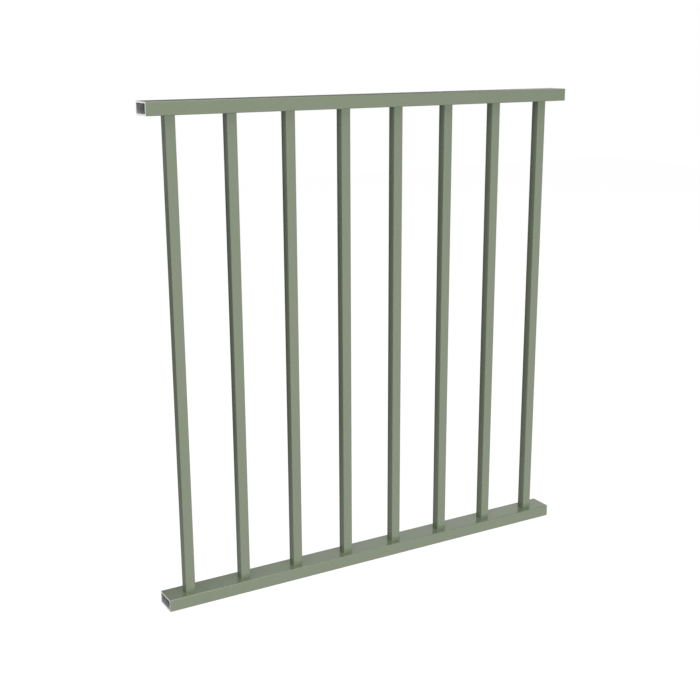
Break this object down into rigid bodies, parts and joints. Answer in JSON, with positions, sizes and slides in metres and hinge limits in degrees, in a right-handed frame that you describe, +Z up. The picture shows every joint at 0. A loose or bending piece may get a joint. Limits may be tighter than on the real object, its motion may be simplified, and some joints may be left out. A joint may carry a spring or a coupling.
{
  "type": "deck railing section",
  "caption": "Straight railing panel with slim square pickets seated between two flat rectangular tube rails with open ends, powder coated in muted sage green.",
  "frame": {"origin": "centre of the bottom rail's left cut end, the face that meets a post", "axes": "+X along the rails to the right, +Y from the front to the back, +Z up along the pickets"},
  "size_m": [0.94, 0.05, 0.98],
  "materials": {
    "powder_coat": "satin"
  },
  "bodies": {
    "root": {"top_rail": "powder_coat", "bottom_rail": "powder_coat", "picket_1": "powder_coat", "picket_2": "powder_coat", "picket_3": "powder_coat", "picket_4": "powder_coat", "picket_5": "powder_coat", "picket_6": "powder_coat", "picket_7": "powder_coat", "picket_8": "powder_coat"}
  },
  "joints": []
}
